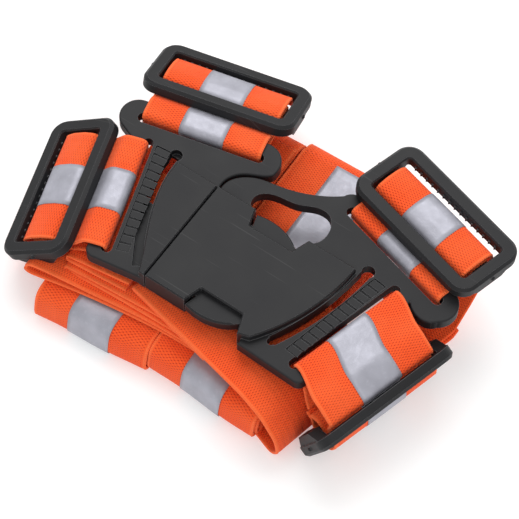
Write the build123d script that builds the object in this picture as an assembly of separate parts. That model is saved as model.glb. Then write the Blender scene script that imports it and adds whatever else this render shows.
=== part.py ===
from build123d import *
import math
import os

# Four-way luggage strap, folded for storage. Millimetres, +Z up, floor at z = 0.
# While it is modelled, X = Y = 0 is the middle of the buckle's joint line, +X runs from
# the plug half into the socket half. The finished parts are moved so that the origin is
# the middle of the whole object's footprint.

# ---- webbing and reflective tape ----
WEB_WIDTH = 50.0
WEB_THICK = 1.3
TAPE_WIDTH = 18.5
TAPE_THICK = 0.2
TAPE_LIFT = WEB_THICK / 2 + TAPE_THICK / 2 + 0.03
TACK_THREAD = 0.6
TACK_LENGTH = 42.0
TACK_RISE = 0.3

# ---- buckle ----
FRAME_Z = 30.0
FRAME_THICK = 5.0
FRAME_TOP = FRAME_Z + FRAME_THICK
BODY_Z = 28.5
BODY_HEIGHT = 10.0
BODY_TOP = BODY_Z + BODY_HEIGHT
JOINT_GAP = 0.25
SLOT_WIDTH = 4.4
SLOT_LENGTH = 53.0
BAR_WIDTH = 5.5
BAR_CLEAR = 0.2
LATCH_Z = 31.2
LATCH_THICK = 4.6
CAVITY_Z = 31.0
CAVITY_HEIGHT = 5.0
CAVITY_HALF = 21.6
CAVITY_END = 42.6
PIVOT = (-3.4, -14.5)
PIVOT_RADIUS = 2.2
PIVOT_CLEAR = 0.3
RIB_RISE = 0.6
RUNG_WIDTH = 2.9
LADDER_DEPTH = 1.0

# ---- sliders ----
SLIDER_LENGTH = 64.0
SLIDER_HEIGHT = 32.0
SLIDER_THICK = 4.6
CORNER_RADIUS = 6.8
WINDOW_LENGTH = 52.6
WINDOW_HEIGHT = 20.0
CENTRE_BAR = 6.0
CENTRE_BAR_LOW = -5.5
CENTRE_BAR_HIGH = -2.0
BLOCK_LOW = -6.2

# ---- folded webbing ----
LEFT_COIL_PITCH = 1.7
RIGHT_COIL_PITCH = 1.57
RIGHT_COIL_Z = 1.75
CROSS_COIL_PITCH = 1.65
CROSS_COIL_Z = 17.65
FLOOR_RUN = WEB_THICK / 2
RUN_TOP = 26.4
RUN_UNDER = 24.85
SIDE_WIDTH = 34.0

# The four webbing slots of the buckle. line: the slot's edge nearer the buckle's middle,
# in plan. slider: how far out and how high the slider's centre lies, and its tilt in
# degrees; a negative tilt drops its outer edge. ASIDE: how far it lies along the slot.
ENDS = {
    "left": {"line": ((-17.4, -21.0), (-32.6, 27.5)), "slider": (30.0, 26.0, -32.0)},
    "top": {"line": ((-43.4, 31.8), (6.0, 42.9)), "slider": (29.8, 30.5, -23.0)},
    "right": {"line": ((46.9, 43.4), (93.8, 30.2)), "slider": (22.7, 39.6, -2.0)},
    "front": {"line": ((63.7, -19.6), (77.2, 27.1)), "slider": (26.8, 16.3, -113.0)},
}
ASIDE = {"left": 0.0, "top": 0.0, "right": 0.0, "front": -4.0}
BUCKLE_MIDDLE = (20.0, 5.0)

# Where webbing turns over a buckle bar.
BAR_OVER = FRAME_TOP + BAR_CLEAR + WEB_THICK / 2
BAR_UNDER = FRAME_Z - BAR_CLEAR - WEB_THICK / 2
SLOT_RUN = 2.8
BAR_EDGE = SLOT_WIDTH + BAR_WIDTH
SEWN_REACH = -12.0

# The strap's way up through a slider's window, over its centre bar and down again, in the
# slider's own section. It rises to HUMP_TOP, or to FRONT_TOP where the slider hangs free.
HUMP_IN = [(-10.3, -3.6), (-8.8, -3.5)]
HUMP_OUT = [(8.8, -3.5), (10.3, -3.6)]
HUMP_TOP = [(-6.4, 0.6), (-2.4, 1.5), (2.4, 1.5), (6.4, 0.6)]
FRONT_TOP = [(-6.6, 2.4), (-2.6, 4.2), (2.6, 4.2), (6.6, 2.4)]
STEEP_OUT = [(2.2, 1.5), (5.4, 0.2), (6.7, -3.4), (7.0, -8.6)]
HUMPS = {
    "left": HUMP_IN + HUMP_TOP + HUMP_OUT,
    "top": HUMP_IN + HUMP_TOP + HUMP_OUT,
    "right": HUMP_IN + HUMP_TOP[:2] + STEEP_OUT,
    "front": HUMP_IN + FRONT_TOP + HUMP_OUT,
}
HUMP_RADII = [1.0, 2.4, 3.0, 3.0, 2.4, 1.0]


# ---------------------------------------------------------------- helpers

def end_frame(name):
    """Local frame of one webbing slot: x points outwards, y runs along the slot."""
    (x0, y0), (x1, y1) = ENDS[name]["line"]
    length = math.hypot(x1 - x0, y1 - y0)
    out = (-(y1 - y0) / length, (x1 - x0) / length)
    middle = ((x0 + x1) / 2, (y0 + y1) / 2)
    if (middle[0] - BUCKLE_MIDDLE[0]) * out[0] + (middle[1] - BUCKLE_MIDDLE[1]) * out[1] < 0:
        out = (-out[0], -out[1])
    return Plane(origin=(*middle, 0), x_dir=(*out, 0), z_dir=(0, 0, 1))


def slider_place(name):
    """Where the slider's own frame lies in its slot's frame."""
    out, height, tilt = ENDS[name]["slider"]
    return Location((out, ASIDE[name], height), (0, -tilt, 0))


def on_slider(name, points):
    """Points given in the slider's own section, as points of the slot's section."""
    out, height, tilt = ENDS[name]["slider"]
    cosine = math.cos(math.radians(tilt))
    sine = math.sin(math.radians(tilt))
    return [(out + s * cosine - n * sine, height + s * sine + n * cosine) for s, n in points]


def parallel(points, radii, distance):
    """The same filleted path, moved to its left by a distance."""
    normals = []
    for (x0, y0), (x1, y1) in zip(points, points[1:]):
        length = math.hypot(x1 - x0, y1 - y0)
        normals.append((-(y1 - y0) / length, (x1 - x0) / length))
    moved = [(points[0][0] + distance * normals[0][0], points[0][1] + distance * normals[0][1])]
    new_radii = []
    for corner, before, after, radius in zip(points[1:-1], normals, normals[1:], radii):
        share = 1 + before[0] * after[0] + before[1] * after[1]
        moved.append((corner[0] + distance * (before[0] + after[0]) / share,
                      corner[1] + distance * (before[1] + after[1]) / share))
        turns_left = before[0] * after[1] - before[1] * after[0] > 0
        new_radii.append(radius - distance if turns_left else radius + distance)
    moved.append((points[-1][0] + distance * normals[-1][0],
                  points[-1][1] + distance * normals[-1][1]))
    return moved, new_radii


def band(path, width, thick):
    """A flat band of constant section: the path lies in the XZ plane, the width along Y."""
    return extrude(Plane.XZ * trace(path, line_width=thick), amount=width / 2, both=True)


def webbing(points, radii):
    return band(FilletPolyline(*points, radius=radii), WEB_WIDTH, WEB_THICK)


def tape(points, radii, side):
    """Reflective tape along a webbing path; side is +1 for its left face, -1 for its right."""
    moved, new_radii = parallel(points, radii, side * TAPE_LIFT)
    return band(FilletPolyline(*moved, radius=new_radii), TAPE_WIDTH, TAPE_THICK)


def coil_path(layers, length, pitch):
    """Flat-wound strap: straight layers joined by half circles, from the inside outwards."""
    near = (layers - 1) * pitch / 2
    far = length - near
    low = layers // 2 - 1
    high = layers // 2
    edges = [Line((near, low * pitch), (far, low * pitch))]
    while True:
        centre = (high + low) * pitch / 2
        radius = (high - low) * pitch / 2
        edges.append(ThreePointArc((far, low * pitch), (far + radius, centre), (far, high * pitch)))
        edges.append(Line((far, high * pitch), (near, high * pitch)))
        if low == 0:
            return Wire(edges)
        low -= 1
        centre = (high + low) * pitch / 2
        radius = (high - low) * pitch / 2
        edges.append(ThreePointArc((near, high * pitch), (near - radius, centre), (near, low * pitch)))
        edges.append(Line((near, low * pitch), (far, low * pitch)))
        high += 1


def coil_cover(layers, length, pitch):
    """The tape's path round the front of a coil and back along its top layer."""
    middle = (layers - 1) * pitch / 2
    radius = middle + TAPE_LIFT
    far = length - middle
    turn = CenterArc((far, middle), radius, -70, 160)
    return Wire([turn, Line((far, middle + radius), (middle, middle + radius))])


def outline(*edges):
    return make_face(Wire(edges))


def block(face, low, height):
    return extrude(Pos(0, 0, low) * face, amount=height)


def slot_cut(name):
    """Cutter for one straight webbing slot."""
    slot = end_frame(name) * (Pos(SLOT_WIDTH / 2, 0, BODY_Z) * SlotOverall(SLOT_LENGTH, SLOT_WIDTH, 90))
    return extrude(slot, amount=BODY_HEIGHT + 1)


def ladder_ribs(left, right, count):
    """Grip ribs across the ladder bar, between its left and right edges, each a line in plan."""
    ribs = []
    for i in range(count):
        share = (i + 0.5) / count
        x0, y0 = (left[0][k] + share * (left[1][k] - left[0][k]) for k in (0, 1))
        x1, y1 = (right[0][k] + share * (right[1][k] - right[0][k]) for k in (0, 1))
        angle = math.degrees(math.atan2(y1 - y0, x1 - x0))
        length = math.hypot(x1 - x0, y1 - y0)
        rib = Box(length - 0.5, RUNG_WIDTH, RIB_RISE + 0.2,
                  align=(Align.CENTER, Align.CENTER, Align.MIN))
        place = Location(((x0 + x1) / 2, (y0 + y1) / 2, FRAME_TOP - LADDER_DEPTH - 0.2), (0, 0, angle))
        ribs.append(place * rib)
    return ribs


def mirror_back(shape):
    return mirror(shape, about=Plane.XZ)


# ---------------------------------------------------------------- buckle

def plug_frame():
    """Plug half: frame with two slots, raised body that meets the socket, guide tongue."""
    plate_face = outline(
        Line((-JOINT_GAP, -23.6), (-22.0, -27.0)),
        ThreePointArc((-22.0, -27.0), (-25.2, -26.2), (-26.6, -23.6)),
        Line((-26.6, -23.6), (-41.6, 24.4)),
        Line((-41.6, 24.4), (-47.0, 26.6)),
        ThreePointArc((-47.0, 26.6), (-52.6, 34.0), (-46.5, 41.3)),
        Line((-46.5, 41.3), (4.5, 52.7)),
        ThreePointArc((4.5, 52.7), (12.4, 49.2), (13.4, 41.4)),
        Spline((13.4, 41.4), (9.8, 38.7), (3.6, 35.3), (0.4, 31.2), (-JOINT_GAP, 25.5)),
        Line((-JOINT_GAP, 25.5), (-JOINT_GAP, -23.6)),
    )
    plate = block(plate_face, FRAME_Z, FRAME_THICK)
    plate = fillet(plate.faces().sort_by(Axis.Z)[-1].outer_wire().edges(), 0.6)
    body_face = outline(
        Line((-JOINT_GAP, 24.0), (-18.6, 24.0)),
        Spline((-18.6, 24.0), (-18.0, 14.0), (-14.6, 2.0), (-7.0, -14.0), (-2.6, -23.6)),
        Line((-2.6, -23.6), (-JOINT_GAP, -23.6)),
        Line((-JOINT_GAP, -23.6), (-JOINT_GAP, 24.0)),
    )
    body = block(body_face, BODY_Z, BODY_HEIGHT)
    body = chamfer(body.faces().sort_by(Axis.Z)[-1].outer_wire().edges(), 0.5)
    ladder = Polyline((-31.2, 27.0), (-24.9, 27.6), (-11.8, -17.6), (-16.3, -19.4), close=True)
    groove = trace(Spline((-22.4, 27.6), (-21.2, 14.0), (-17.2, 1.0), (-9.6, -14.0), (-5.6, -20.5)),
                   line_width=3.8)
    groove = groove + Pos(-22.2, 27.4) * Circle(2.6)
    half = plate + body
    half -= block(make_face(ladder), FRAME_TOP - LADDER_DEPTH, LADDER_DEPTH + 1)
    half -= block(groove, FRAME_Z + 2.0, BODY_HEIGHT)
    half -= block(groove & Pos(-21, 17) * Rectangle(16, 22), FRAME_Z - 2, BODY_HEIGHT)
    half -= slot_cut("left")
    half -= slot_cut("top")
    half += ladder_ribs(((-31.2, 27.0), (-16.3, -19.4)), ((-24.9, 27.6), (-11.8, -17.6)), 13)
    half += Pos(-1, 0, LATCH_Z) * Box(37, 6, LATCH_THICK, align=(Align.MIN, Align.CENTER, Align.MIN))
    pocket = Pos(*PIVOT) * Circle(PIVOT_RADIUS + PIVOT_CLEAR)
    mouth = Rectangle(8, 2 * PIVOT_RADIUS + 1.2, align=(Align.MIN, Align.CENTER))
    mouth = Pos(PIVOT[0], PIVOT[1] + 0.3) * mouth
    pocket = block(pocket + mouth, CAVITY_Z - 0.1, CAVITY_HEIGHT + 0.1)
    half -= pocket
    half -= mirror_back(pocket)
    return half


def latch_arm():
    """Front latch arm of the plug: round root, springy arm, hooked head whose outside is the button."""
    arm = Polyline((PIVOT[0], PIVOT[1] - 2.0), (20.6, -18.4), (23.0, -12.6),
                   (PIVOT[0], PIVOT[1] + 2.0), close=True)
    head = outline(
        Line((23.0, -12.6), (20.6, -17.6)),
        Line((20.6, -17.6), (18.8, -23.6)),
        Spline((18.8, -23.6), (24.0, -24.4), (32.0, -23.4), (39.0, -19.6)),
        ThreePointArc((39.0, -19.6), (41.2, -16.4), (39.8, -12.8)),
        Spline((39.8, -12.8), (33.0, -10.8), (23.0, -12.6)),
    )
    whole = Pos(*PIVOT) * Circle(PIVOT_RADIUS) + make_face(arm) + head
    latch = block(whole, LATCH_Z, LATCH_THICK)
    rim = latch.edges().filter_by_position(Axis.Z, LATCH_Z + LATCH_THICK, LATCH_Z + LATCH_THICK)
    return chamfer(rim.filter_by(lambda edge: edge.center().X > 24.0 and edge.center().Y < -17.0), 0.7)


def socket_body():
    """Socket half: hollow box open at the mouth and at both button notches, frame with two slots."""
    plate_face = outline(
        Line((JOINT_GAP, -10.0), (JOINT_GAP, 25.5)),
        Spline((JOINT_GAP, 25.5), (1.3, 30.8), (4.6, 34.6), (10.6, 37.7), (18.9, 39.4),
               (30.9, 43.5), (41.0, 50.0)),
        ThreePointArc((41.0, 50.0), (43.8, 52.8), (47.4, 53.0)),
        Line((47.4, 53.0), (98.6, 38.8)),
        ThreePointArc((98.6, 38.8), (103.3, 31.6), (99.5, 24.6)),
        Spline((99.5, 24.6), (95.5, 22.0), (90.5, 22.6), (86.6, 25.6)),
        Line((86.6, 25.6), (72.9, -22.6)),
        ThreePointArc((72.9, -22.6), (71.9, -25.4), (69.0, -26.4)),
        Line((69.0, -26.4), (43.8, -25.6)),
        Line((43.8, -25.6), (43.0, -10.0)),
        Line((43.0, -10.0), (JOINT_GAP, -10.0)),
    )
    plate = block(plate_face, FRAME_Z, FRAME_THICK)
    body_face = outline(
        Line((JOINT_GAP, -23.4), (JOINT_GAP, 24.0)),
        Line((JOINT_GAP, 24.0), (63.2, 24.3)),
        ThreePointArc((63.2, 24.3), (58.9, 1.0), (46.9, -22.1)),
        Line((46.9, -22.1), (42.2, -23.4)),
        Line((42.2, -23.4), (JOINT_GAP, -23.4)),
    )
    body = block(body_face, BODY_Z, BODY_HEIGHT)
    notch_front = make_face(Polyline((18.1, -23.4), (20.6, -15.7), (39.4, -15.7), (42.2, -23.4),
                                     (42.2, -30.0), (18.1, -30.0), close=True))
    notch_rear = make_face(Polyline((17.2, 25.0), (19.9, 16.6), (39.2, 16.6), (42.3, 25.0), close=True))
    gap = outline(
        Line((19.9, 16.6), (17.2, 25.0)),
        Spline((17.2, 25.0), (13.6, 26.6), (13.4, 30.4), (17.5, 34.2), (28.9, 36.5), (36.0, 39.6),
               (41.5, 39.2), (45.0, 34.0), (44.9, 28.5), (42.3, 25.0)),
        Line((42.3, 25.0), (39.2, 16.6)),
        Line((39.2, 16.6), (19.9, 16.6)),
    )
    plate = fillet(plate.faces().sort_by(Axis.Z)[-1].outer_wire().edges(), 0.6)
    body -= block(notch_front, BODY_Z - 1, BODY_HEIGHT + 2)
    body -= block(notch_rear, BODY_Z - 1, BODY_HEIGHT + 2)
    body = chamfer(body.faces().sort_by(Axis.Z)[-1].outer_wire().edges(), 0.5)
    ladder = Polyline((70.2, 26.6), (75.8, 26.0), (64.9, -17.6), (59.6, -17.2), close=True)
    groove = trace(ThreePointArc((66.8, 27.0), (62.4, 4.5), (53.6, -17.4)), line_width=4.2)
    groove = groove + Pos(66.9, 27.4) * Circle(2.6) + Pos(53.5, -17.6) * Circle(1.6)
    half = plate + body
    half -= block(notch_front, BODY_Z - 1, BODY_HEIGHT + 2)
    half -= block(gap, BODY_Z - 1, BODY_HEIGHT + 2)
    half -= block(make_face(ladder), FRAME_TOP - LADDER_DEPTH, LADDER_DEPTH + 1)
    half -= block(groove, FRAME_Z - 2, BODY_HEIGHT)
    half -= slot_cut("right")
    half -= slot_cut("front")
    half += ladder_ribs(((70.2, 26.6), (59.6, -17.2)), ((75.8, 26.0), (64.9, -17.6)), 12)
    cavity = Pos(JOINT_GAP - 1, 0, CAVITY_Z) * Box(CAVITY_END + 1, 2 * CAVITY_HALF, CAVITY_HEIGHT,
                                                 align=(Align.MIN, Align.CENTER, Align.MIN))
    return half - cavity


# ---------------------------------------------------------------- sliders

def slider():
    """Tri-glide in its own frame: X across the bars, Y along them, Z out of its face."""
    rim = RectangleRounded(SLIDER_HEIGHT, SLIDER_LENGTH, CORNER_RADIUS)
    rim -= RectangleRounded(WINDOW_HEIGHT, WINDOW_LENGTH, 1.5)
    frame = extrude(rim, amount=SLIDER_THICK / 2, both=True)
    top = frame.faces().sort_by(Axis.Z)[-1]
    frame = chamfer(top.outer_wire().edges(), 1.2)
    frame = chamfer(frame.faces().sort_by(Axis.Z)[-1].inner_wires()[0].edges(), 0.6)
    low = -SLIDER_THICK / 2
    cheek = Polyline((-11.0, low + 1), (-11.0, low), (-6.0, BLOCK_LOW), (6.0, BLOCK_LOW),
                     (11.0, low), (11.0, low + 1), close=True)
    cheek = extrude(Plane.XZ * make_face(cheek), amount=4.6)
    bar = Box(CENTRE_BAR, WINDOW_LENGTH + 4, CENTRE_BAR_HIGH - CENTRE_BAR_LOW)
    bar = Pos(0, 0, (CENTRE_BAR_LOW + CENTRE_BAR_HIGH) / 2) * bar
    bar = fillet(bar.edges().filter_by(Axis.Y), 1.2)
    body = frame + bar
    body += Pos(0, WINDOW_LENGTH / 2 + 5.0, 0) * cheek
    body += Pos(0, -WINDOW_LENGTH / 2 - 0.4, 0) * cheek
    for side in (-1, 1):
        body += Pos(0, side * SLIDER_LENGTH / 2, -0.6) * Sphere(0.9)
    root = WINDOW_HEIGHT / 2 + 0.3
    tooth = Polyline((root, -0.8), (WINDOW_HEIGHT / 2 - 0.6, 0), (root, 0.8), close=True)
    tooth = extrude(Pos(0, 0, low) * make_face(tooth), amount=1.8)
    for i in range(15):
        body += Pos(0, (i - 7) * 3.2, 0) * tooth
    return body


# ---------------------------------------------------------------- webbing at the slots

def loop_path(name):
    """From under the slider over the buckle's bar, down the slot and back to the sewn end."""
    if name == "front":
        reach = on_slider(name, [(-10.5, -3.6), (-13.6, -3.6)]) + [(20.5, BAR_OVER)]
        leave = [(12.2, 22.6)] + on_slider(name, [(0.4, -12.7)])
        radii = [2.5, 6.0, 2.0, 2.0, 2.4, 1.5]
    elif name == "right":
        reach = on_slider(name, [(-10.9, -3.6)])
        leave = on_slider(name, [(-7.0, -7.2)])
        radii = [4.0, 2.0, 2.0, 3.0]
    else:
        reach = on_slider(name, [(-10.5, -3.6), (-15.5, -3.6)])
        leave = on_slider(name, [(-13.6, -7.2), (-12.2, -7.2)])
        radii = [6.0, 3.5, 2.0, 2.0, 2.4, 2.4]
    over = {"front": [], "right": [(BAR_EDGE - 1.9, BAR_OVER)]}.get(name, [(BAR_EDGE + 1.0, BAR_OVER)])
    turn = [(SLOT_RUN, BAR_OVER), (SLOT_RUN, BAR_UNDER)]
    under = [(BAR_EDGE + 1.0 if name == "right" else BAR_EDGE - 1.0, BAR_UNDER)]
    return reach + over + turn + under + leave, radii


def sewn_path(name):
    """The strap's end, turned round the centre bar and sewn back onto itself."""
    around = [(-3.85, -1.15), (3.85, -1.15), (3.85, -6.35)]
    if name == "front":
        return ([(-1.25, -10.6), (-3.85, -7.2)] + around + [(0.4, -9.4), (0.4, -12.5)],
                [1.5, 1.3, 1.3, 1.5, 1.5])
    if name == "right":
        return ([(-6.4, -5.2), (-3.85, -3.6)] + around + [(-2.6, -6.35), (-6.4, -7.2)],
                [1.0, 1.3, 1.3, 1.3, 1.5])
    return ([(SEWN_REACH, -5.6), (-6.2, -5.6), (-3.85, -3.4)] + around
            + [(-2.0, -6.35), (-6.5, -7.2), (SEWN_REACH, -7.2)],
            [1.5, 1.0, 1.3, 1.3, 1.3, 2.0, 2.0])


def tail_path(name):
    """The strap leaving the slider's far side and turning back under the bundle."""
    if name == "left":
        return (on_slider(name, [(10.6, -3.6), (17.0, -3.6)])
                + [(46.6, 9.6), (43.6, 5.8), (36.0, 9.2), (29.6, 14.6), (27.6, 16.6)],
                [6.0, 2.0, 2.6, 6.0, 2.0])
    if name == "top":
        return (on_slider(name, [(10.6, -3.6), (17.0, -3.6)])
                + [(50.0, 18.2), (50.2, 15.0), (45.6, 14.6), (39.6, 18.3), (22.0, 18.3)],
                [4.0, 1.4, 1.4, 2.6, 6.0])
    if name == "right":
        return (on_slider(name, [(7.05, -8.9), (7.4, -13.0)]) + [(30.6, 22.6), (28.4, 19.9)], [5.0, 4.0])
    return (on_slider(name, [(10.6, -3.6), (13.4, -3.6), (16.0, -4.4)]), [3.0])


def bar_tack(name):
    """Thread run to and fro across the under side of the sewn end's two layers."""
    pitch = 1.0 if name == "front" else 1.5
    thread = Box(TACK_THREAD, TACK_LENGTH, TACK_RISE)
    link = Box(pitch + TACK_THREAD, TACK_THREAD, TACK_RISE)
    turn = (TACK_LENGTH - TACK_THREAD) / 2
    tack = thread + Pos(-pitch, 0, 0) * thread + Pos(pitch, 0, 0) * thread
    tack += Pos(-pitch / 2, turn, 0) * link
    tack += Pos(pitch / 2, -turn, 0) * link
    if name == "front":
        return Location((1.25, 0, -11.1), (0, 90, 0)) * tack
    return Pos(0.4, 0, -7.17) * tack if name == "right" else Pos(-9.4, 0, -8.02) * tack


# ---------------------------------------------------------------- build and export

def folded_bundle():
    """The spare webbing: two flat coils of strap B, one of strap A across them, and two runs."""
    parts = {}
    tilt = math.radians(3.0)
    left_frame = Plane(origin=(-21.8, 72.4, WEB_THICK / 2),
                       x_dir=(math.sin(tilt), -math.cos(tilt), 0), z_dir=(0, 0, 1))
    lean = math.radians(1.6)
    right_frame = Plane(origin=(35.8, 76.3, RIGHT_COIL_Z + WEB_THICK / 2),
                        x_dir=(math.sin(lean), -math.cos(lean), 0), z_dir=(0, 0, 1))
    cross_frame = Plane(origin=(54.0, -6.0, CROSS_COIL_Z + WEB_THICK / 2),
                        x_dir=(-1, 0, 0), z_dir=(0, 0, 1))
    for name, frame, layers, length, pitch in (
            ("strap_b_left_coil", left_frame, 10, 113.0, LEFT_COIL_PITCH),
            ("strap_b_right_coil", right_frame, 10, 114.0, RIGHT_COIL_PITCH),
            ("strap_a_cross_coil", cross_frame, 4, 83.0, CROSS_COIL_PITCH)):
        parts[name] = frame * band(coil_path(layers, length, pitch), WEB_WIDTH, WEB_THICK)
        if name != "strap_a_cross_coil":
            cover = coil_cover(layers, length, pitch)
            parts[name.replace("strap", "tape")] = frame * band(cover, TAPE_WIDTH, TAPE_THICK)
    turn = math.radians(-12.5)
    run_frame = Plane(origin=(-4.5 + 25 * 0.216, -25.7 + 25 * 0.976, 0),
                      x_dir=(math.cos(turn), math.sin(turn), 0), z_dir=(0, 0, 1))
    run = [(40.0, RUN_UNDER), (0.0, RUN_UNDER), (0.0, RUN_TOP), (60.0, RUN_TOP), (71.0, 23.3),
           (79.2, 15.0), (80.8, 7.0), (77.0, FLOOR_RUN), (28.0, FLOOR_RUN)]
    parts["strap_a_top_run"] = run_frame * webbing(run, [0.77, 0.77, 14.0, 12.0, 9.0, 6.0, 5.0])
    side = [(28.1, 19.5), (25.6, 17.0), (20.0, 13.2), (15.4, 11.6), (13.4, 6.0),
            (15.6, FLOOR_RUN), (28.0, FLOOR_RUN)]
    side_band = band(FilletPolyline(*side, radius=[3.0, 5.0, 2.6, 5.0, 2.6]), SIDE_WIDTH, WEB_THICK)
    side_band = Pos(0, (SIDE_WIDTH - WEB_WIDTH) / 2, 0) * side_band
    parts["strap_b_side_run"] = end_frame("right") * side_band
    return parts


def build():
    parts = {
        "plug_frame": plug_frame(),
        "latch_arm_front": latch_arm(),
        "latch_arm_rear": mirror_back(latch_arm()),
        "socket_body": socket_body(),
    }
    shape = slider()
    for name in ENDS:
        frame = end_frame(name)
        place = slider_place(name)
        strap = "strap_a" if name in ("left", "front") else "strap_b"
        loop, loop_radii = loop_path(name)
        tail, tail_radii = tail_path(name)
        sewn, sewn_radii = sewn_path(name)
        parts[f"slider_{name}"] = frame * (place * shape)
        parts[f"{strap}_{name}_loop"] = frame * webbing(loop, loop_radii)
        parts[f"{strap}_{name}_pass"] = frame * (place * webbing(HUMPS[name], HUMP_RADII))
        parts[f"{strap}_{name}_sewn_end"] = frame * (place * webbing(sewn, sewn_radii))
        parts[f"{strap}_{name}_tail"] = frame * webbing(tail, tail_radii)
        taped = len(loop) - 3
        parts[f"tape_{name}_loop"] = frame * tape(loop[:taped], loop_radii[:taped - 2], -1)
        parts[f"tape_{name}_pass"] = frame * (place * tape(HUMPS[name], HUMP_RADII, 1))
        parts[f"bar_tack_{name}"] = frame * (place * bar_tack(name))
    parts.update(folded_bundle())
    return parts


def main():
    os.makedirs("parts", exist_ok=True)
    parts = build()
    boxes = [shape.bounding_box() for shape in parts.values()]
    low_x, high_x = min(box.min.X for box in boxes), max(box.max.X for box in boxes)
    low_y, high_y = min(box.min.Y for box in boxes), max(box.max.Y for box in boxes)
    shift = (-(low_x + high_x) / 2, -(low_y + high_y) / 2, 0)
    print("shift", shift, "size", high_x - low_x, high_y - low_y, max(box.max.Z for box in boxes))
    for name, shape in parts.items():
        export_step(Location(shift) * shape, f"parts/{name}.step")


main()
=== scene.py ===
import math
import bpy
import numpy as np
from mathutils import Matrix, Vector


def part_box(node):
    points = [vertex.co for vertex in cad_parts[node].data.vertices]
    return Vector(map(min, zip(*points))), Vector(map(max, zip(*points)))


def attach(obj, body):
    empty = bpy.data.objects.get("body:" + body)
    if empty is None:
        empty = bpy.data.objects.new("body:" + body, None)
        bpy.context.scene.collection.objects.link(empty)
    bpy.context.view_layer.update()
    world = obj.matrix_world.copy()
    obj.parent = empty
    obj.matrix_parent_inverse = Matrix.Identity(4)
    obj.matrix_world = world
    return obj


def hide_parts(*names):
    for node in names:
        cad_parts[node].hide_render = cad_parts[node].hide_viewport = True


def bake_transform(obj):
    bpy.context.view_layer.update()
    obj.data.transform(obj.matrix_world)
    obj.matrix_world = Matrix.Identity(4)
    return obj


# A four-way luggage strap, folded for storage. The buckle and the sliders are shown as they
# are in the frame, with a plastic material. All webbing, tape and stitching is rebuilt here
# as cloth. It is worked out in millimetres, with X = 0 at the buckle's joint line, and SHIFT
# takes it from there to the frame.

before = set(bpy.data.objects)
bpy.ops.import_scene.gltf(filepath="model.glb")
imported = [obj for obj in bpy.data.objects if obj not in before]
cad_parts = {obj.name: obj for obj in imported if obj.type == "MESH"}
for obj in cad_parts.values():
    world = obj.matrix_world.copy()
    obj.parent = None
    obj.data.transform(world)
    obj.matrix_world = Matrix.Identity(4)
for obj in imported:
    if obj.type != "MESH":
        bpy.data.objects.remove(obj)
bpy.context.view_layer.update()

# ---------------------------------------------------------------- sizes (millimetres)
MM = 0.001
JOINT_GAP, SOCKET_FRONT = 0.25, -26.4
socket_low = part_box("socket_body")[0]
SHIFT = np.array([socket_low.x / MM - JOINT_GAP, socket_low.y / MM - SOCKET_FRONT, 0.0])
Z = np.array([0.0, 0.0, 1.0])

WEB, THICK = 50.0, 1.3
TAPE, TAPE_THICK = 18.5, 0.2
TAPE_GAP = 0.12
SLOT, BAR = 4.4, 5.5
BAR_OVER, BAR_UNDER = 35.85, 29.15
SLOT_RUN = 2.8
BAR_EDGE = SLOT + BAR
FLOOR_RUN = THICK / 2

# The selvage: how far in from the edge, and the share of the full thickness there.
SELVAGE_AT = np.array([0.0, 0.16, 0.5, 0.95, 1.3])
SELVAGE_SHARE = np.array([0.12, 0.62, 1.04, 0.98, 0.84])
SELVAGE_WIDTH = 1.7

# The buckle's four slots. line: the slot's edge nearer the buckle's middle, in plan.
# slider: how far out and how high its slider's centre lies, and its tilt in degrees.
# body: what the slot belongs to. taped: the share of the loop, from the slider, with tape.
ENDS = {
    "left": {"line": ((-17.4, -21.0), (-32.6, 27.5)), "slider": (30.0, 26.0, -32.0),
             "strap": "strap_a", "body": "plug", "taped": 0.62},
    "top": {"line": ((-43.4, 31.8), (6.0, 42.9)), "slider": (29.8, 30.5, -23.0),
            "strap": "strap_b", "body": "plug", "taped": 0.62},
    "right": {"line": ((46.9, 43.4), (93.8, 30.2)), "slider": (22.7, 39.6, -2.0),
              "strap": "strap_b", "body": "bundle", "taped": 0.5},
    "front": {"line": ((63.7, -19.6), (77.2, 27.1)), "slider": (26.8, 16.3, -113.0),
              "strap": "strap_a", "body": "bundle", "taped": 0.66},
}
ASIDE = {"left": 0.0, "top": 0.0, "right": 0.0, "front": -4.0}
BUCKLE_MIDDLE = (20.0, 5.0)
PLASTIC_NODES = ("plug_frame", "latch_arm_front", "latch_arm_rear", "socket_body",
                 "slider_left", "slider_top", "slider_right", "slider_front")


# ---------------------------------------------------------------- local frames
def axes(origin, along):
    """Local frame: origin, unit x along, unit y to its left, z up."""
    x = np.array([along[0], along[1], 0.0])
    x /= np.linalg.norm(x)
    return np.array([origin[0], origin[1], origin[2] if len(origin) > 2 else 0.0]), x, np.cross(Z, x)


def end_axes(end):
    """The frame of one webbing slot: x points outwards, y runs along the slot."""
    (x0, y0), (x1, y1) = ENDS[end]["line"]
    out = (-(y1 - y0), x1 - x0)
    middle = ((x0 + x1) / 2, (y0 + y1) / 2)
    if (middle[0] - BUCKLE_MIDDLE[0]) * out[0] + (middle[1] - BUCKLE_MIDDLE[1]) * out[1] < 0:
        out = (-out[0], -out[1])
    return axes(middle, out)


def on_slider(end, points):
    """Points of the slider's own section, as (x, z) in its slot's frame."""
    out, height, tilt = ENDS[end]["slider"]
    c, s = math.cos(math.radians(tilt)), math.sin(math.radians(tilt))
    return [(out + a * c - n * s, height + a * s + n * c) for a, n in points]


def place(local, points):
    """(x, y, z) of a local frame, as millimetres in the frame that all pieces share."""
    origin, x, y = local
    p = np.asarray(points, float)
    return origin + SHIFT + p[:, 0:1] * x + p[:, 1:2] * y + p[:, 2:3] * Z


# ---------------------------------------------------------------- paths
CORNER_STEPS = 12
CORNER_PULL, CORNER_REST = 0.82, 0.09
CORNER_ROOM = 0.49
STRAIGHT = 1.5607


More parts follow.
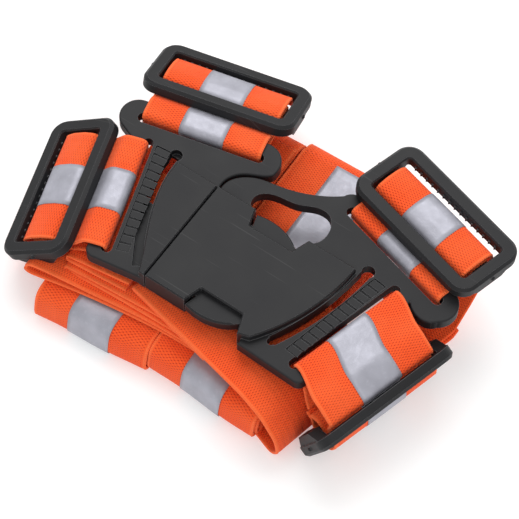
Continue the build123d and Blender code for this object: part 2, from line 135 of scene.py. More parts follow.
def smooth(share):
    return share * share * (3 - 2 * share)


def clamp(share):
    return max(0.0, min(1.0, share))


def rounded(points, radii, step):
    """A polyline with rounded corners, sampled finely enough to bend smoothly."""
    pts = [np.array(p, float) for p in points]
    out = [pts[0]]
    for a, b, c, radius in zip(pts, pts[1:], pts[2:], radii):
        u, v = (a - b) / np.linalg.norm(a - b), (c - b) / np.linalg.norm(c - b)
        half = math.acos(float(np.clip(u @ v, -1, 1))) / 2
        room = CORNER_ROOM * min(np.linalg.norm(a - b), np.linalg.norm(c - b))
        cut = min(radius / math.tan(half), room) if half < STRAIGHT else 0.0
        p, q = b + u * cut, b + v * cut
        middle = b * CORNER_PULL + (p + q) * CORNER_REST
        for k in range(CORNER_STEPS + 1):
            t = k / CORNER_STEPS
            out.append((1 - t) ** 2 * p + 2 * t * (1 - t) * middle + t * t * q)
    out.append(pts[-1])
    return resample(np.array(out), step)


def lengths_along(p):
    return np.concatenate([[0], np.cumsum(np.linalg.norm(np.diff(p, axis=0), axis=1))])


def resample(p, step):
    """The same line with its points evenly spaced."""
    gaps = np.linalg.norm(np.diff(p, axis=0), axis=1)
    p = p[np.concatenate([[True], gaps > 1e-6])]
    s = lengths_along(p)
    t = np.linspace(0, s[-1], max(3, int(s[-1] / step) + 1))
    return np.stack([np.interp(t, s, p[:, i]) for i in range(p.shape[1])], 1)


def divided(p, step):
    """The same line with only its long segments divided, so that tight turns keep their own points."""
    out = [p[0]]
    for a, b in zip(p, p[1:]):
        n = max(1, int(np.linalg.norm(b - a) / step))
        out += [a + (b - a) * k / n for k in range(1, n + 1)]
    return np.array(out)


COIL_STEP = 1.6
FOLD_POWER = 0.6


def squared(value):
    """Turns a circle's cosine or sine into that of a squarer, flat-fronted fold."""
    return math.copysign(abs(value) ** FOLD_POWER, value)


def fold(far, middle, radius, degrees):
    """Points of a flat-fronted fold whose centre is (far, middle)."""
    turns = [math.radians(t) for t in degrees]
    return [(far + radius * squared(math.cos(t)), middle + radius * squared(math.sin(t))) for t in turns]


def coil(layers, length, pitch):
    """Flat-wound strap from the inside outwards, as (x, z) points."""
    near = (layers - 1) * pitch / 2
    far = length - near
    low, high = layers // 2 - 1, layers // 2
    pts = [(near, low * pitch), (far, low * pitch)]
    turn = np.linspace(-90, 90, 19)[1:-1]
    while True:
        pts += fold(far, (high + low) * pitch / 2, (high - low) * pitch / 2, turn)
        pts += [(far, high * pitch), (near, high * pitch)]
        if low == 0:
            return divided(np.array(pts, float), COIL_STEP)
        low -= 1
        c, r = (high + low) * pitch / 2, (high - low) * pitch / 2
        pts += [(near - r * math.cos(math.radians(t)), c - r * math.sin(math.radians(t))) for t in turn]
        pts += [(near, low * pitch), (far, low * pitch)]
        high += 1


# ---------------------------------------------------------------- webbing meshes
def half_section(width, thick, fine):
    """Positions across the width and the half thickness there, with a beaded selvage."""
    w = width / 2
    inner = np.linspace(-w + SELVAGE_WIDTH, w - SELVAGE_WIDTH, fine)
    v = np.concatenate([-w + SELVAGE_AT, inner, (w - SELVAGE_AT)[::-1]])
    h = np.full(len(v), thick / 2)
    h[:len(SELVAGE_AT)] *= SELVAGE_SHARE
    h[-len(SELVAGE_AT):] *= SELVAGE_SHARE[::-1]
    return v, h


def add_object(name, mesh):
    mesh.polygons.foreach_set("use_smooth", [True] * len(mesh.polygons))
    obj = bpy.data.objects.new(name, mesh)
    bpy.context.scene.collection.objects.link(obj)
    return obj


def band_faces(rows, cols, v, s):
    """Faces and UVs of a closed band: its rings, then a cap at each end. UVs are in millimetres."""
    count = 2 * cols
    ring_u = np.concatenate([v, v[::-1]])
    faces, uvs = [], []
    for i in range(rows - 1):
        for j in range(count):
            k = (j + 1) % count
            faces.append((i * count + j, i * count + k, (i + 1) * count + k, (i + 1) * count + j))
            uvs += [(ring_u[j], s[i]), (ring_u[k], s[i]), (ring_u[k], s[i + 1]), (ring_u[j], s[i + 1])]
    for i in (0, rows - 1):
        for j in range(cols - 1):
            a, b = i * count + j, i * count + j + 1
            c, d = i * count + count - 2 - j, i * count + count - 1 - j
            faces.append((a, d, c, b) if i == 0 else (a, b, c, d))
            uvs += [(v[j], s[i])] * 4
    return faces, uvs


def sweep(name, centre, across, width, thick, bead=True, lift=0.0, wave=0.05, seed=0.0, fine=24, warp=None):
    """A closed band along centre (N, 3), wide along across, in millimetres. Returns it and its length."""
    tangent = np.gradient(centre, axis=0)
    tangent /= np.linalg.norm(tangent, axis=1, keepdims=True)
    normal = np.cross(tangent, across)
    normal /= np.linalg.norm(normal, axis=1, keepdims=True)
    s = lengths_along(centre)
    if bead:
        v, h = half_section(width, thick, fine)
    else:
        v = np.linspace(-width / 2, width / 2, fine)
        h = np.full(len(v), thick / 2)
    along, aside = np.meshgrid(s, v, indexing="ij")
    off = wave * (np.sin(along / 7.3 + aside / 9.1 + seed)
                  + 0.6 * np.sin(along / 3.9 - aside / 6.3 + 2.1 * seed)) / 1.6
    base = centre[:, None, :] + aside[..., None] * across + (off + lift)[..., None] * normal[:, None, :]
    top = base + h[None, :, None] * normal[:, None, :]
    bottom = base - h[None, :, None] * normal[:, None, :]
    ring = np.concatenate([top, bottom[:, ::-1]], axis=1).reshape(-1, 3)
    verts = (ring if warp is None else warp(ring)) * MM
    faces, uvs = band_faces(len(s), len(v), v, s)
    mesh = bpy.data.meshes.new(name)
    mesh.from_pydata([tuple(p) for p in verts], [], faces)
    mesh.uv_layers.new(name="weave").data.foreach_set("uv", np.array(uvs, np.float32).ravel())
    mesh.update()
    return add_object(name, mesh), float(s[-1])


# ---------------------------------------------------------------- materials
class Nodes:
    """Small helper that builds a node tree with maths on plain values or sockets."""

    def __init__(self, name):
        self.mat = bpy.data.materials.new(name)
        self.mat.use_nodes = True
        self.tree = self.mat.node_tree
        self.shader = self.tree.nodes["Principled BSDF"]

    def new(self, kind, **values):
        node = self.tree.nodes.new(kind)
        for key, value in values.items():
            setattr(node, key, value)
        return node

    def put(self, socket, value):
        if isinstance(value, bpy.types.NodeSocket):
            self.tree.links.new(value, socket)
        else:
            socket.default_value = value

    def math(self, op, a, b=0.0):
        node = self.new("ShaderNodeMath", operation=op)
        self.put(node.inputs[0], a)
        self.put(node.inputs[1], b)
        return node.outputs[0]

    def plus(self, a, b):
        return self.math("ADD", a, b)

    def minus(self, a, b):
        return self.math("SUBTRACT", a, b)

    def times(self, a, b):
        return self.math("MULTIPLY", a, b)

    def size(self, a):
        return self.math("ABSOLUTE", a)

    def noise(self, vector, scale, detail=2.0, rough=0.5):
        node = self.new("ShaderNodeTexNoise")
        self.put(node.inputs["Vector"], vector)
        self.put(node.inputs["Scale"], scale)
        self.put(node.inputs["Detail"], detail)
        self.put(node.inputs["Roughness"], rough)
        return node.outputs["Fac"]

    def ramp(self, value, low, high, to_low=0.0, to_high=1.0):
        node = self.new("ShaderNodeMapRange", interpolation_type="SMOOTHSTEP")
        for key, item in (("Value", value), ("From Min", low), ("From Max", high),
                          ("To Min", to_low), ("To Max", to_high)):
            self.put(node.inputs[key], item)
        return node.outputs["Result"]

    def mix(self, share, a, b):
        node = self.new("ShaderNodeMix", data_type="RGBA")
        self.put(node.inputs[0], share)
        for socket, value in ((node.inputs[6], a), (node.inputs[7], b)):
            self.put(socket, value if isinstance(value, bpy.types.NodeSocket) else (*value, 1.0))
        return node.outputs[2]

    def bump(self, height, strength, distance, normal=None):
        node = self.new("ShaderNodeBump")
        self.put(node.inputs["Height"], height)
        self.put(node.inputs["Strength"], strength)
        self.put(node.inputs["Distance"], distance)
        if normal is not None:
            self.put(node.inputs["Normal"], normal)
        return node.outputs["Normal"]

    def weave(self):
        """The band's own UVs: millimetres across and along it."""
        return self.new("ShaderNodeUVMap", uv_map="weave").outputs[0]

    def set(self, **values):
        for key, value in values.items():
            self.put(self.shader.inputs[key.replace("_", " ")], value)
        return self.mat


WIDE_RIB = 3.1
BEAD_PITCH = 0.95
SELVAGE_FROM, SELVAGE_TO = WEB / 2 - 1.5, WEB / 2 - 0.9


def webbing_material(name, base, painted_shade, pale_tone_and_highlight, rib=1.12, row=1.05):
    """Knitted webbing: lengthwise ribs broken by offset rows of small pits, beaded selvages; painted shade
    in the grooves and pits, a painted highlight along the selvages.
    """
    n = Nodes(name)
    uv = n.weave()
    split = n.new("ShaderNodeSeparateXYZ")
    n.put(split.inputs[0], uv)
    across, along = split.outputs[0], split.outputs[1]
    bent = n.plus(across, n.times(n.minus(n.noise(uv, 0.30, 2.0), 0.5), 0.9))
    column = n.math("FLOOR", n.math("DIVIDE", bent, rib))
    rib_height = n.size(n.math("SINE", n.times(bent, math.pi / rib)))
    odd = n.times(n.math("MODULO", n.size(column), 2.0), math.pi)
    rows = n.math("COSINE", n.plus(n.times(along, 2 * math.pi / row), odd))
    pit = n.times(n.ramp(rows, 0.05, 0.95), n.ramp(rib_height, 0.45, 0.95))
    wide = n.size(n.math("SINE", n.times(bent, math.pi / WIDE_RIB)))
    fibre = n.noise(uv, 3.6, 4.0, 0.65)
    edge = n.ramp(n.size(across), SELVAGE_FROM, SELVAGE_TO)
    inside = n.minus(1.0, edge)
    bead = n.ramp(n.math("SINE", n.times(along, 2 * math.pi / BEAD_PITCH)), -0.7, 0.7)

    height = n.plus(n.times(rib_height, 0.30), n.plus(n.times(pit, -0.9), n.times(fibre, 0.30)))
    height = n.plus(height, n.times(wide, 0.35))
    height = n.plus(n.times(height, inside), n.times(edge, n.plus(0.5, n.times(bead, 0.6))))

    # Painted shade: the grooves between the ribs and the pits are darkened in colour.
    groove = n.minus(1.0, n.ramp(rib_height, 0.0, 0.35))
    colour = n.mix(n.times(groove, 0.45), base, painted_shade)
    colour = n.mix(n.times(n.times(pit, inside), 0.85), colour, painted_shade)
    colour = n.mix(n.times(n.ramp(n.noise(uv, 0.05, 2.0), 0.35, 0.7), 0.22), colour, pale_tone_and_highlight)
    # Painted highlight: the selvages are lightened in colour, on top of the random paler patches above.
    colour = n.mix(n.times(edge, 0.45), colour, pale_tone_and_highlight)
    return n.set(Base_Color=colour, Roughness=0.8, Specular_IOR_Level=0.15,
                 Sheen_Weight=0.08, Sheen_Roughness=0.5, Normal=n.bump(height, 0.8, 0.0004))


def tape_material(name):
    """Silver reflective tape: fine beads and light crinkles."""
    n = Nodes(name)
    uv = n.weave()
    beads = n.new("ShaderNodeTexVoronoi", feature="F1")
    n.put(beads.inputs["Vector"], uv)
    n.put(beads.inputs["Scale"], 2.6)
    crinkle = n.noise(uv, 0.42, 4.0, 0.6)
    broad = n.noise(uv, 0.09, 2.0)
    height = n.plus(n.times(beads.outputs["Distance"], 0.18), n.times(crinkle, 0.9))
    colour = n.mix(n.ramp(broad, 0.3, 0.7), (0.32, 0.32, 0.365), (0.40, 0.40, 0.455))
    colour = n.mix(n.times(n.ramp(crinkle, 0.5, 0.75), 0.35), colour, (0.52, 0.52, 0.58))
    return n.set(Base_Color=colour, Roughness=n.ramp(crinkle, 0.3, 0.8, 0.42, 0.58), Metallic=0.35,
                 Specular_IOR_Level=0.5, Normal=n.bump(height, 0.35, 0.0003))


EDGE_RADIUS = 0.00045


def plastic_material(name):
    """Moulded charcoal plastic: fine grain, softened edges that catch the light and carry a painted
    highlight, faint scratches.
    """
    n = Nodes(name)
    spot = n.new("ShaderNodeTexCoord").outputs["Object"]
    bevel = n.new("ShaderNodeBevel", samples=6)
    n.put(bevel.inputs["Radius"], EDGE_RADIUS)
    dot = n.new("ShaderNodeVectorMath", operation="DOT_PRODUCT")
    n.put(dot.inputs[0], bevel.outputs[0])
    n.put(dot.inputs[1], n.new("ShaderNodeNewGeometry").outputs["Normal"])
    edge = n.ramp(dot.outputs["Value"], 0.97, 0.80)
    fine = n.noise(spot, 5200.0, 2.0)
    broad = n.noise(spot, 60.0, 3.0)
    stretch = n.new("ShaderNodeMapping")
    n.put(stretch.inputs["Vector"], spot)
    n.put(stretch.inputs["Rotation"], (0.0, 0.0, 0.9))
    n.put(stretch.inputs["Scale"], (30.0, 1400.0, 30.0))
    scratch = n.ramp(n.noise(stretch.outputs[0], 1.0, 1.0), 0.71, 0.76)
    colour = n.mix(n.ramp(broad, 0.3, 0.7), (0.011, 0.011, 0.012), (0.015, 0.015, 0.0165))
    # Painted highlight: the softened edges are lightened in colour.
    colour = n.mix(n.times(edge, 0.6), colour, (0.26, 0.26, 0.27))
    colour = n.mix(n.times(scratch, 0.12), colour, (0.2, 0.2, 0.2))
    height = n.plus(fine, n.times(scratch, -0.6))
    return n.set(Base_Color=colour, Roughness=n.ramp(broad, 0.2, 0.8, 0.46, 0.56), Specular_IOR_Level=0.24,
                 Normal=n.bump(height, 0.25, 0.00006, bevel.outputs[0]))


ORANGE = webbing_material("orange_webbing", (0.95, 0.105, 0.020), (0.56, 0.018, 0.003), (1.0, 0.20, 0.060))
SILVER = tape_material("silver_tape")
BLACK = plastic_material("black_plastic")
THREAD = webbing_material("orange_thread", (0.88, 0.10, 0.02), (0.5, 0.03, 0.005), (0.98, 0.18, 0.05),
                          rib=0.5, row=0.6)


def finish_piece(obj, material, nodes):
    """Gives a piece its material and slot, and hides the CAD nodes it stands for."""
    obj.data.materials.append(material)
    if nodes:
        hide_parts(*nodes)
    return obj


def strip(name, local, path, nodes=(), lateral=None, width=WEB, **shape):
    """Webbing along an (x, z) path in a local frame. lateral(t, p) says how far it lies along y."""
    centre = centre_line(local, path, lateral)
    web, length = sweep(name, centre, local[2], width, THICK, **shape)
    return finish_piece(web, ORANGE, nodes), length


def centre_line(local, path, lateral):
    share = np.linspace(0, 1, len(path))
    side = np.zeros(len(path)) if lateral is None else np.array([lateral(t, p) for t, p in zip(share, path)])
    return place(local, np.stack([path[:, 0], side, path[:, 1]], 1))


def stripe(name, local, path, nodes, face, reach, lateral, seed):
    """Tape on the webbing's left (+1) or right (-1) face, over the first share of its path."""
    centre = centre_line(local, path, lateral)[:int(reach * (len(path) - 1)) + 1]
    tape, _ = sweep(name, centre, local[2], TAPE, TAPE_THICK, bead=False,
                    lift=face * (THICK / 2 + TAPE_GAP), seed=seed, fine=10)
    return finish_piece(tape, SILVER, nodes)


def aside(end):
    """A piece that lies the same distance along its slot all the way."""
    return lambda t, p: ASIDE[end]


# The strap's way through a slider: in under the near bar, over the centre bar, out.
HUMPS = {
    "left": [(-10.3, -3.6), (-8.8, -3.5), (-7.6, 0.4), (-2.6, 1.6),
             (2.6, 1.6), (7.0, 0.6), (8.8, -3.5), (10.3, -3.6)],
    "top": [(-10.3, -3.6), (-8.8, -3.5), (-7.6, 0.4), (-2.6, 1.6),
            (2.6, 1.6), (7.8, 0.5), (8.9, -3.5), (10.3, -3.6)],
    "right": [(-10.3, -3.6), (-8.9, -3.5), (-7.7, 0.4), (-2.8, 1.6),
              (2.8, 1.6), (6.2, 0.3), (7.2, -3.4), (7.2, -8.6)],
    "front": [(-10.3, -3.6), (-8.8, -3.5), (-6.6, 2.4), (-2.6, 4.2),
              (2.6, 4.2), (6.6, 2.4), (8.8, -3.5), (10.3, -3.6)],
}
HUMP_RADII = [1.2, 3.0, 4.5, 4.5, 3.0, 1.2]


def loop_path(end):
    """From under the slider over the buckle's bar, down the slot and back to the sewn end."""
    if end == "front":
        reach = on_slider(end, [(-10.5, -3.6), (-13.6, -3.6)]) + [(20.5, BAR_OVER)]
        leave = [(12.2, 22.6)] + on_slider(end, [(0.4, -12.7)])
        radii = [2.5, 6.0, 2.0, 2.0, 2.4, 1.5]
    elif end == "right":
        reach = on_slider(end, [(-10.9, -3.6)])
        leave = on_slider(end, [(-7.0, -7.2)])
        radii = [4.0, 2.0, 2.0, 3.0]
    else:
        reach = on_slider(end, [(-10.5, -3.6), (-15.5, -3.6)])
        leave = on_slider(end, [(-13.6, -7.2), (-12.2, -7.2)])
        radii = [6.0, 3.5, 2.0, 2.0, 2.4, 2.4]
    over = {"front": [], "right": [(BAR_EDGE - 1.9, BAR_OVER)]}.get(end, [(BAR_EDGE + 1.0, BAR_OVER)])
    turn = [(SLOT_RUN, BAR_OVER), (SLOT_RUN, BAR_UNDER)]
    under = [(BAR_EDGE + 1.0 if end == "right" else BAR_EDGE - 1.0, BAR_UNDER)]
    return reach + over + turn + under + leave, radii


def sewn_path(end):
    """The strap's end, turned round the centre bar and sewn back onto itself."""
    around = [(-3.85, -1.15), (3.85, -1.15), (3.85, -6.35)]
    if end == "front":
        return ([(-1.25, -10.6), (-3.85, -7.2)] + around + [(0.4, -9.4), (0.4, -12.5)],
                [1.5, 1.3, 1.3, 1.5, 1.5])
    if end == "right":
        return ([(-6.4, -5.2), (-3.85, -3.6)] + around + [(-2.6, -6.35), (-6.4, -7.2)],
                [1.0, 1.3, 1.3, 1.3, 1.5])
    return ([(-12.0, -5.6), (-6.2, -5.6), (-3.85, -3.4)] + around
            + [(-2.0, -6.35), (-6.5, -7.2), (-12.0, -7.2)],
            [1.5, 1.0, 1.3, 1.3, 1.3, 2.0, 2.0])


def tail_path(end):
    """The strap leaving the slider's far side and, at three ends, turning back under the bundle."""
    if end == "left":
        return (on_slider(end, [(10.6, -3.6), (14.6, -4.2)])
                + [(42.8, 9.4), (41.0, 6.4), (36.0, 8.6), (29.6, 14.6), (27.6, 16.6)],
                [3.0, 2.0, 1.6, 6.0, 2.0])
    if end == "top":
        return (on_slider(end, [(10.6, -3.6), (14.5, -4.0)])
                + [(45.8, 18.2), (45.6, 15.0), (43.4, 14.6), (39.0, 18.3), (22.0, 18.3)],
                [3.0, 1.4, 1.0, 1.6, 6.0])
    if end == "right":
        return on_slider(end, [(7.05, -8.6), (7.4, -13.0)]) + [(30.6, 22.6), (28.4, 19.9)], [5.0, 4.0]
    return on_slider(end, [(10.3, -3.6), (13.4, -3.6), (16.0, -4.4)]), [3.0]


def add_loop(end, seed):
    """The loop through the buckle's slot."""
    local, strap, body = end_axes(end), ENDS[end]["strap"], ENDS[end]["body"]
    out = ENDS[end]["slider"][0]

    def drift(t, p):
        return ASIDE[end] * smooth(clamp((p[0] - SLOT) / (out - SLOT - 6.0)))

    path = rounded(*loop_path(end), 0.7)
    loop, length = strip(f"{strap}_{end}_loop_cloth", local, path, [f"{strap}_{end}_loop"],
                         lateral=drift, seed=seed, wave=0.05)
    tape = stripe(f"tape_{strap[-1]}_{end}_loop_cloth", local, path, [f"tape_{end}_loop"],
                  -1, ENDS[end]["taped"], drift, seed)
    for piece in (loop, tape):
        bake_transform(piece)


def add_pass(end, seed):
    """The strap in the slider's window, over its centre bar."""
    local, strap, slider = end_axes(end), ENDS[end]["strap"], f"slider_{end}"
    path = rounded(on_slider(end, HUMPS[end]), HUMP_RADII, 0.6)
    web, length = strip(f"{strap}_{end}_pass_cloth", local, path, [f"{strap}_{end}_pass"],
                        lateral=aside(end), seed=seed, wave=0.06)
    tape = stripe(f"tape_{strap[-1]}_{end}_pass_cloth", local, path, [f"tape_{end}_pass"],
                  1, 1.0, aside(end), seed)
    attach(web, slider)
    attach(tape, slider)


THREAD_LENGTH = 41.4
ZIGZAGS = 56
ZIGZAG_RISE = 0.26
THREAD_SIDES = 6


def thread_rows(name, local, end):
    """Zigzag stitches of the bar tack under the sewn end, in the slider's own section."""
    verts, faces = [], []
    origin, s_dir, n_dir = np.array(on_slider(end, [(0, 0), (1, 0), (0, 1)]))
    s_dir, n_dir = s_dir - origin, n_dir - origin
    s, n = {"front": (1.25, -11.1), "right": (0.4, -7.17)}.get(end, (-9.4, -8.02))
    pitch = 1.0 if end == "front" else 1.5
    middle = origin + s * s_dir + n * n_dir
    if end == "front":
        s_dir, n_dir = n_dir, s_dir
    side = (s_dir[0] * local[1] + s_dir[1] * Z) * 0.14
    face = (n_dir[0] * local[1] + n_dir[1] * Z) * 0.13
    for row in (-1, 0, 1):
        base = len(verts)
        for k in range(ZIGZAGS + 1):
            y = (k / ZIGZAGS - 0.5) * THREAD_LENGTH + ASIDE[end]
            x, z = middle + (row * pitch + ZIGZAG_RISE * (-1) ** k) * s_dir
            p = place(local, [(x, y, z)])[0]
            verts += [tuple((p + side * math.cos(a) + face * math.sin(a)) * MM)
                      for a in np.linspace(0, 2 * math.pi, THREAD_SIDES + 1)[:-1]]
        for i in range(ZIGZAGS):
            first, second = base + i * THREAD_SIDES, base + (i + 1) * THREAD_SIDES
            for j in range(THREAD_SIDES):
                k = (j + 1) % THREAD_SIDES
                faces.append((first + j, first + k, second + k, second + j))
    mesh = bpy.data.meshes.new(name)
    mesh.from_pydata(verts, [], faces)
    mesh.uv_layers.new(name="weave")
    return finish_piece(add_object(name, mesh), THREAD, [f"bar_tack_{end}"])


def add_sewn_end(end, seed):
    """The sewn end round the centre bar, with its bar tack."""
    local, strap, slider = end_axes(end), ENDS[end]["strap"], f"slider_{end}"
    path, radii = sewn_path(end)
    web, length = strip(f"{strap}_{end}_sewn_cloth", local, rounded(on_slider(end, path), radii, 0.5),
                        [f"{strap}_{end}_sewn_end"], lateral=aside(end), seed=seed, wave=0.02)
    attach(web, slider)
    tack = thread_rows(f"bar_tack_{end}_thread", local, end)
    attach(tack, slider)


def add_short_tail(end, seed):
    """A tail of one piece, beyond the right or the front slider."""
    local, strap, slider = end_axes(end), ENDS[end]["strap"], f"slider_{end}"
    path = rounded(*tail_path(end), 0.8)
    web, length = strip(f"{strap}_{end}_tail_cloth", local, path, [f"{strap}_{end}_tail"],
                        lateral=aside(end), seed=seed)
    if end == "front":
        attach(web, slider)
    else:
        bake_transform(web)


TAIL_SPLIT = 0.52
TOP_TURN = 4.5


def add_long_tail(end, seed):
    """A tail of two pieces, because the bundle and the slider share no joint: the plug is between them."""
    local, strap, slider = end_axes(end), ENDS[end]["strap"], f"slider_{end}"
    path = rounded(*tail_path(end), 0.8)
    cut = int(len(path) * TAIL_SPLIT)
    turned = TOP_TURN if end == "top" else 0.0
    outer, length = strip(f"{strap}_{end}_tail_cloth", local, path[:cut + 1], [f"{strap}_{end}_tail"],
                          lateral=lambda t, p: turned * smooth(t), seed=seed)
    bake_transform(outer)
    inner, length = strip(f"{strap}_{end}_tail_inner_cloth", local, path[cut:],
                          lateral=lambda t, p: turned, seed=seed)
    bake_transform(inner)


for index, end in enumerate(ENDS):
    end_seed = 1.7 * index
    add_loop(end, end_seed)
    add_pass(end, end_seed + 0.5)
    add_sewn_end(end, end_seed + 0.9)
    if end in ("right", "front"):
        add_short_tail(end, end_seed)
    else:
        add_long_tail(end, end_seed)


# ---------------------------------------------------------------- strap B's two flat coils
COVER_START = -76
FOLD_BLEND = 35.0
FOLD_START = 40.0
LAYER_WANDER = 0.35


def wander(seed, near, far, length):
    """Layers of a coil lie a little to one side or the other; near and far shift its two ends."""
    def shift(t, p):
        drift = far + (near - far) * p[0] / length
        return drift + LAYER_WANDER * (math.sin(9.0 * t + seed) + 0.6 * math.sin(23.0 * t + 2 * seed))
    return shift


def fold_warp(local, height, front, skew, push, fan):
    """Beyond front the coil's turns move out: by push, by fan more at the bottom, by skew at one side."""
    origin, x, y = local

    def warp(p):
        q = p - origin - SHIFT
        forward, side, up = q @ x, q @ y, q[:, 2]
        share = smooth(np.clip((forward - front) / FOLD_BLEND, 0, 1))
        out = share * (push + skew * side / (WEB / 2) + fan * np.clip(1 - up / height, 0, 1)
                       + 0.3 * np.sin(side / 6.0))
        return p + out[:, None] * x

    return warp


def add_coil(name, local, layers, length, pitch, seed, ends, skew, push, fan):
    """One flat coil on the floor, with the tape round its front and along its top layer."""
    warp = fold_warp(local, layers * pitch, length - FOLD_START, skew, push, fan)
    sideways = wander(seed, *ends, length)
    web, total = strip(f"{name}_cloth", local, coil(layers, length, pitch), [name],
                       lateral=sideways, seed=seed, wave=0.03, fine=20, warp=warp)
    middle = (layers - 1) * pitch / 2
    radius = middle + THICK / 2 + 0.14
    cover = fold(length - middle, middle, radius, range(COVER_START, 91, 4)) + [(middle, middle + radius)]
    points = [(p[0], sideways(1.0, p), p[1]) for p in divided(np.array(cover), COIL_STEP)]
    centre = place(local, points)
    tape_name = name.replace("strap", "tape")
    tape, _ = sweep(tape_name + "_cloth", centre, local[2], TAPE, TAPE_THICK, bead=False,
                    wave=0.03, seed=seed, fine=10, warp=warp)
    finish_piece(tape, SILVER, [tape_name])
    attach(web, "bundle")
    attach(tape, "bundle")


tilt, lean = math.radians(3.0), math.radians(1.6)
RIGHT_COIL_Z = 1.75
add_coil("strap_b_left_coil",
         axes((-21.8, 72.4, FLOOR_RUN), (math.sin(tilt), -math.cos(tilt))),
         layers=10, length=113.0, pitch=1.7, seed=0.4, ends=(3.0, 5.4), skew=-1.0, push=1.0, fan=3.8)
add_coil("strap_b_right_coil",
         axes((35.8, 76.3, RIGHT_COIL_Z + FLOOR_RUN), (math.sin(lean), -math.cos(lean))),
         layers=10, length=114.0, pitch=1.57, seed=2.3, ends=(-1.4, -0.4), skew=1.6, push=0.8, fan=3.2)


# ---------------------------------------------------------------- strap A across the coils
CROSS_ORIGIN = (54.0, -6.0)
CROSS_Z = 17.65
LOWER_REACH, UPPER_REACH, TOP_REACH = 96.0, 86.0, 27.0
UPPER_RISE, TOP_RISE = 3.15, 6.05
TOP_START = 60.0
CROSS_PITCH = 1.45


def lower_path():
    """A layer out to the left, an open turn there, and a layer back on it."""
    turn = [math.radians(a) for a in range(-90, 91, 10)]
    eye = [(LOWER_REACH + 3.6 * math.cos(a), 1.55 + 2.45 * math.sin(a)) for a in turn]
    there = [(2.0, 0.0), (70.0, 0.0), (84.0, -0.25), (91.0, -0.8)]
    back = [(91.0, 3.85), (84.0, 3.1), (76.0, 2.25), (66.0, 1.8), (3.0, 1.65)]
    return divided(np.array(there + eye + back, float), COIL_STEP)


def lower_side(t, p):
    reach = p[0] / LOWER_REACH
    return 0.2 + 6.3 * reach ** 3 - 0.9 * math.sin(5.0 * reach) + (0.9 if t < 0.5 else 0.0) * reach


def upper_side(t, p):
    return -1.4 + 3.6 * (p[0] / UPPER_REACH) ** 2 - 2.6 * t


def top_side(t, p):
    return -3.6 + 3.0 * p[0] / TOP_REACH - 2.4 * t


def add_cross(name, path, start, rise, side, seed, nodes=()):
    """One fold of strap A, start millimetres along the cross frame and rise above its lowest layer."""
    local = axes((CROSS_ORIGIN[0] - start, CROSS_ORIGIN[1], CROSS_Z + THICK / 2 + rise), (-1.0, 0.0))
    web, length = strip(name, local, path, nodes, lateral=side, seed=seed, wave=0.04)
    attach(web, "bundle")


add_cross("strap_a_cross_lower_cloth", lower_path(), 0.0, 0.0, lower_side, 0.3, ["strap_a_cross_coil"])
add_cross("strap_a_cross_upper_cloth", coil(2, UPPER_REACH, CROSS_PITCH), 0.0, UPPER_RISE, upper_side, 1.1)
add_cross("strap_a_cross_top_cloth", coil(2, TOP_REACH, CROSS_PITCH), TOP_START, TOP_RISE, top_side, 1.9)


# ---------------------------------------------------------------- two runs down to the floor
RUN_TOP, RUN_UNDER = 26.4, 24.85
SIDE_WIDTH = 34.0


def run_side(t, p):
    """The leg on the floor lies further back than the leg on top."""
    return 3.2 * clamp((12.0 - p[1]) / 12.0) * clamp((81.0 - p[0]) / 25.0)


def side_drift(t, p):
    """The strap leaves the slider along its slot and reaches the floor further out."""
    return (SIDE_WIDTH - WEB) / 2 - 4.2 * clamp((26.0 - p[0]) / 16.0)


def add_run(name, local, path, width, seed, lateral):
    web, length = strip(f"{name}_cloth", local, path, [name], lateral=lateral, width=width,
                        seed=seed, wave=0.05)
    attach(web, "bundle")


turn = math.radians(-12.5)
top_run = rounded([(40.0, RUN_UNDER), (0.0, RUN_UNDER), (0.0, RUN_TOP), (60.0, RUN_TOP), (71.0, 23.3),
                   (79.2, 15.0), (80.8, 7.0), (77.0, FLOOR_RUN), (28.0, FLOOR_RUN)],
                  [0.77, 0.77, 14.0, 12.0, 9.0, 6.0, 5.0], 1.0)
add_run("strap_a_top_run", axes((0.9, -1.3), (math.cos(turn), math.sin(turn))),
        top_run, WEB, 2.0, run_side)
side_run = rounded([(28.1, 19.5), (25.6, 17.0), (20.0, 12.2), (11.0, 6.6), (0.4, 5.2),
                    (0.4, FLOOR_RUN), (14.0, FLOOR_RUN)], [3.0, 5.0, 6.0, 2.2, 2.2], 0.9)
add_run("strap_b_side_run", end_axes("right"), side_run, SIDE_WIDTH, 3.0, side_drift)

for node in PLASTIC_NODES:
    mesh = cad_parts[node].data
    mesh.materials.clear()
    mesh.materials.append(BLACK)


# ---------------------------------------------------------------- floor, light and camera
FLOOR_HALF = 3.0


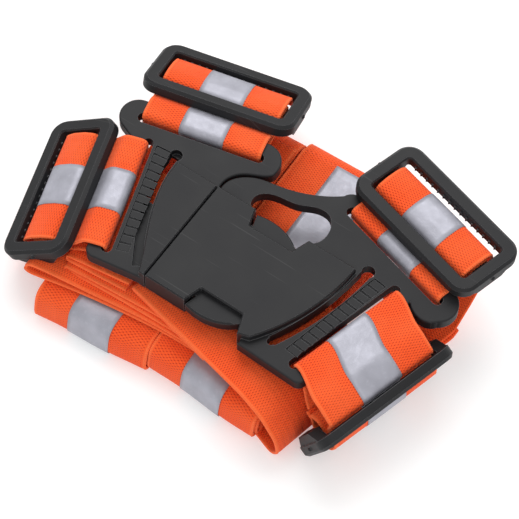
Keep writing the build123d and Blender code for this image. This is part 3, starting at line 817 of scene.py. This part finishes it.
def add_floor():
    r = FLOOR_HALF
    mesh = bpy.data.meshes.new("floor")
    mesh.from_pydata([(-r, -r, 0), (r, -r, 0), (r, r, 0), (-r, r, 0)], [], [(0, 1, 2, 3)])
    floor = bpy.data.objects.new("floor", mesh)
    bpy.context.scene.collection.objects.link(floor)
    floor.location = (0, 0, -0.0001)
    white = Nodes("floor_white")
    mesh.materials.append(white.set(Base_Color=(0.72, 0.73, 0.73, 1.0), Roughness=0.9,
                                    Specular_IOR_Level=0.1, Emission_Color=(1.0, 1.0, 1.0, 1.0),
                                    Emission_Strength=0.34))


add_floor()

LIGHT_AIM = Vector((0, 0, 0.02))


def area_light(name, spot, size, energy):
    data = bpy.data.lights.new(name, "AREA")
    data.shape = "RECTANGLE"
    data.size = data.size_y = size
    data.energy = energy
    lamp = bpy.data.objects.new(name, data)
    lamp.location = spot
    lamp.rotation_euler = (LIGHT_AIM - Vector(spot)).to_track_quat("-Z", "Y").to_euler()
    bpy.context.scene.collection.objects.link(lamp)


area_light("key", (-0.35, 0.55, 0.95), 0.8, 7.0)
area_light("fill", (0.7, -0.6, 0.8), 0.9, 2.0)
world = bpy.data.worlds.new("studio")
world.use_nodes = True
background = world.node_tree.nodes["Background"]
background.inputs[0].default_value = (1.0, 1.0, 1.0, 1.0)
background.inputs[1].default_value = 0.8
bpy.context.scene.world = world

AZIMUTH, ELEVATION, ROLL = math.radians(33.57), math.radians(61.04), math.radians(1.41)
VIEW_DISTANCE = 0.8
LENS, SENSOR = 148.16, 36.0
VIEW_CENTRE = (31.53, 6.65, 38.5)


def add_camera():
    """A camera round the buckle's middle, at the view's azimuth, elevation and roll."""
    back = Vector((math.sin(AZIMUTH) * math.cos(ELEVATION), -math.cos(AZIMUTH) * math.cos(ELEVATION),
                   math.sin(ELEVATION)))
    right = Vector((math.cos(AZIMUTH), math.sin(AZIMUTH), 0.0))
    up = back.cross(right)
    rolled_right = right * math.cos(ROLL) + up * math.sin(ROLL)
    rolled_up = -right * math.sin(ROLL) + up * math.cos(ROLL)
    centre = Vector((np.array(VIEW_CENTRE) + SHIFT) * MM)
    data = bpy.data.cameras.new("camera")
    data.lens = LENS
    data.sensor_width = SENSOR
    camera = bpy.data.objects.new("camera", data)
    bpy.context.scene.collection.objects.link(camera)
    spin = Matrix((rolled_right, rolled_up, back)).transposed().to_4x4()
    camera.matrix_world = Matrix.Translation(centre + back * VIEW_DISTANCE) @ spin
    return camera


bpy.context.scene.camera = add_camera()
bpy.context.scene.view_settings.view_transform = "Standard"
